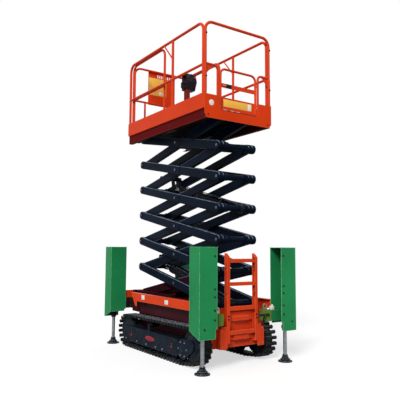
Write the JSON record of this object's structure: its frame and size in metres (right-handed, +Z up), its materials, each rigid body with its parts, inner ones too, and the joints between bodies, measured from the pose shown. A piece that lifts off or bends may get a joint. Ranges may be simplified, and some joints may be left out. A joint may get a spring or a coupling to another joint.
{
  "type": "tracked scissor lift",
  "caption": "Tracked scissor lift with a railed work platform, sliding deck extension, end ladder and vertical outriggers on rubber tracks.",
  "frame": {"origin": "on the ground, at the middle of the machine's outline", "axes": "+X towards the ladder and gate end, +Y across the machine, +Z up"},
  "size_m": [2.59, 1.526, 4.3425],
  "materials": {
    "orange_enamel": "gloss enamel, baked",
    "green_enamel": "gloss enamel, baked",
    "olive_enamel": "satin enamel",
    "blue_black_enamel": "satin enamel",
    "slate_enamel": "satin enamel",
    "wheel_steel": "satin, dusty",
    "track_rubber": "matt black rubber",
    "cylinder_enamel": "satin enamel",
    "plated_rod": "ground hard plating",
    "foot_steel": "dark satin paint",
    "maroon_enamel": "satin enamel, dusty",
    "zinc_plate": "passivated zinc",
    "sign_yellow": "gloss enamel",
    "post_red": "satin enamel",
    "box_plastic": "moulded grain"
  },
  "bodies": {
    "chassis": {"chassis_tray": "maroon_enamel", "side_beams": "orange_enamel", "front_plate": "orange_enamel", "ladder": "orange_enamel", "rear_crossbeam": "orange_enamel", "scissor_base": "blue_black_enamel", "chassis_roller_channels": "blue_black_enamel", "track_left": "track_rubber", "track_right": "track_rubber", "track_frame_left": "slate_enamel", "track_frame_right": "slate_enamel", "track_wheels_left": "wheel_steel", "track_wheels_right": "wheel_steel", "outrigger_housing_front_left": "green_enamel", "outrigger_housing_front_right": "green_enamel", "outrigger_housing_rear_left": "green_enamel", "outrigger_housing_rear_right": "green_enamel", "outrigger_brackets": "olive_enamel", "leg_cylinders": "cylinder_enamel", "lashing_eyes": "zinc_plate"},
    "platform": {"platform_deck": "orange_enamel", "platform_underframe": "blue_black_enamel", "guardrail_left": "orange_enamel", "guardrail_right": "orange_enamel", "guardrail_front": "orange_enamel"},
    "extension": {"extension_deck": "orange_enamel", "extension_rails": "orange_enamel", "rear_panel": "orange_enamel", "control_post": "post_red", "control_box": "box_plastic"},
    "gate": {"gate": "orange_enamel", "gate_sheets": "orange_enamel"},
    "barrel_lower": {"lift_barrel_lower": "cylinder_enamel"},
    "barrel_upper": {"lift_barrel_upper": "cylinder_enamel"},
    "rod_lower": {"lift_rod_lower": "plated_rod"},
    "rod_upper": {"lift_rod_upper": "plated_rod"},
    "outer_1": {"outer_arms_1": "blue_black_enamel"},
    "inner_1": {"inner_arms_1": "blue_black_enamel"},
    "outer_2": {"outer_arms_2": "blue_black_enamel"},
    "inner_2": {"inner_arms_2": "blue_black_enamel"},
    "outer_3": {"outer_arms_3": "blue_black_enamel"},
    "inner_3": {"inner_arms_3": "blue_black_enamel"},
    "outer_4": {"outer_arms_4": "blue_black_enamel"},
    "inner_4": {"inner_arms_4": "blue_black_enamel"},
    "outer_5": {"outer_arms_5": "blue_black_enamel"},
    "inner_5": {"inner_arms_5": "blue_black_enamel"},
    "outer_6": {"outer_arms_6": "blue_black_enamel"},
    "inner_6": {"inner_arms_6": "blue_black_enamel"},
    "leg_front_left": {"leg_rod_front_left": "plated_rod", "foot_front_left": "foot_steel"},
    "leg_front_right": {"leg_rod_front_right": "plated_rod", "foot_front_right": "foot_steel"},
    "leg_rear_left": {"leg_rod_rear_left": "plated_rod", "foot_rear_left": "foot_steel"},
    "leg_rear_right": {"leg_rod_rear_right": "plated_rod", "foot_rear_right": "foot_steel"}
  },
  "joints": [
    {"name": "scissor_lift", "type": "hinge", "parent": "chassis", "child": "outer_1", "pos_m": [0.9925, 0, 0.763], "axis": [0, 1, 0], "range_deg": [-6.9, 48.69]},
    {"name": "centre_1", "type": "hinge", "parent": "outer_1", "child": "inner_1", "pos_m": [-0.0077, 0, 0.963], "axis": [0, 1, 0], "range_deg": [-97.4, 13.85]},
    {"name": "front_1", "type": "hinge", "parent": "inner_1", "child": "outer_2", "pos_m": [0.9925, 0, 1.163], "axis": [0, 1, 0], "range_deg": [-13.85, 97.4]},
    {"name": "centre_2", "type": "hinge", "parent": "outer_2", "child": "inner_2", "pos_m": [-0.0077, 0, 1.363], "axis": [0, 1, 0], "range_deg": [-97.4, 13.85]},
    {"name": "front_2", "type": "hinge", "parent": "inner_2", "child": "outer_3", "pos_m": [0.9925, 0, 1.563], "axis": [0, 1, 0], "range_deg": [-13.85, 97.4]},
    {"name": "centre_3", "type": "hinge", "parent": "outer_3", "child": "inner_3", "pos_m": [-0.0077, 0, 1.763], "axis": [0, 1, 0], "range_deg": [-97.4, 13.85]},
    {"name": "front_3", "type": "hinge", "parent": "inner_3", "child": "outer_4", "pos_m": [0.9925, 0, 1.963], "axis": [0, 1, 0], "range_deg": [-13.85, 97.4]},
    {"name": "centre_4", "type": "hinge", "parent": "outer_4", "child": "inner_4", "pos_m": [-0.0077, 0, 2.163], "axis": [0, 1, 0], "range_deg": [-97.4, 13.85]},
    {"name": "front_4", "type": "hinge", "parent": "inner_4", "child": "outer_5", "pos_m": [0.9925, 0, 2.363], "axis": [0, 1, 0], "range_deg": [-13.85, 97.4]},
    {"name": "centre_5", "type": "hinge", "parent": "outer_5", "child": "inner_5", "pos_m": [-0.0077, 0, 2.563], "axis": [0, 1, 0], "range_deg": [-97.4, 13.85]},
    {"name": "front_5", "type": "hinge", "parent": "inner_5", "child": "outer_6", "pos_m": [0.9925, 0, 2.763], "axis": [0, 1, 0], "range_deg": [-13.85, 97.4]},
    {"name": "centre_6", "type": "hinge", "parent": "outer_6", "child": "inner_6", "pos_m": [-0.0077, 0, 2.963], "axis": [0, 1, 0], "range_deg": [-97.4, 13.85]},
    {"name": "platform_level", "type": "hinge", "parent": "inner_6", "child": "platform", "pos_m": [0.9925, 0, 3.163], "axis": [0, 1, 0], "range_deg": [-6.95, 48.75]},
    {"name": "barrel_lower_pin", "type": "hinge", "parent": "chassis", "child": "barrel_lower", "pos_m": [0.9925, -0.08, 0.763], "axis": [0, 1, 0], "range_deg": [-8, 54]},
    {"name": "barrel_upper_pin", "type": "hinge", "parent": "inner_3", "child": "barrel_upper", "pos_m": [0.9925, 0.08, 1.963], "axis": [0, 1, 0], "range_deg": [-15, 103]},
    {"name": "rod_lower_slide", "type": "slide", "parent": "barrel_lower", "child": "rod_lower", "axis": [-0.9666, 0, 0.2563], "range_m": [-0.085, 0.585]},
    {"name": "rod_upper_slide", "type": "slide", "parent": "barrel_upper", "child": "rod_upper", "axis": [-0.9666, 0, 0.2563], "range_m": [-0.085, 0.585]},
    {"name": "extension_slide", "type": "slide", "parent": "platform", "child": "extension", "axis": [-1, 0, 0], "range_m": [0, 0.9]},
    {"name": "gate_hinge", "type": "hinge", "parent": "platform", "child": "gate", "pos_m": [1.0275, 0.311, 3.5], "axis": [0, 0, -1], "range_deg": [0, 90]},
    {"name": "leg_front_left_slide", "type": "slide", "parent": "chassis", "child": "leg_front_left", "axis": [0, 0, 1], "range_m": [-0.15, 0.3]},
    {"name": "leg_front_right_slide", "type": "slide", "parent": "chassis", "child": "leg_front_right", "axis": [0, 0, 1], "range_m": [-0.15, 0.3]},
    {"name": "leg_rear_left_slide", "type": "slide", "parent": "chassis", "child": "leg_rear_left", "axis": [0, 0, 1], "range_m": [-0.15, 0.3]},
    {"name": "leg_rear_right_slide", "type": "slide", "parent": "chassis", "child": "leg_rear_right", "axis": [0, 0, 1], "range_m": [-0.15, 0.3]}
  ],
  "couplings": [
    {"joint": "centre_1", "follows": "scissor_lift", "ratio": -2},
    {"joint": "front_1", "follows": "scissor_lift", "ratio": 2},
    {"joint": "centre_2", "follows": "scissor_lift", "ratio": -2},
    {"joint": "front_2", "follows": "scissor_lift", "ratio": 2},
    {"joint": "centre_3", "follows": "scissor_lift", "ratio": -2},
    {"joint": "front_3", "follows": "scissor_lift", "ratio": 2},
    {"joint": "centre_4", "follows": "scissor_lift", "ratio": -2},
    {"joint": "front_4", "follows": "scissor_lift", "ratio": 2},
    {"joint": "centre_5", "follows": "scissor_lift", "ratio": -2},
    {"joint": "front_5", "follows": "scissor_lift", "ratio": 2},
    {"joint": "centre_6", "follows": "scissor_lift", "ratio": -2},
    {"joint": "platform_level", "follows": "scissor_lift", "ratio": 1},
    {"joint": "barrel_lower_pin", "follows": "scissor_lift", "ratio": 1.1},
    {"joint": "barrel_upper_pin", "follows": "scissor_lift", "ratio": 2.1},
    {"joint": "rod_lower_slide", "follows": "scissor_lift", "m_per_rad": 0.68},
    {"joint": "rod_upper_slide", "follows": "scissor_lift", "m_per_rad": 0.68}
  ]
}
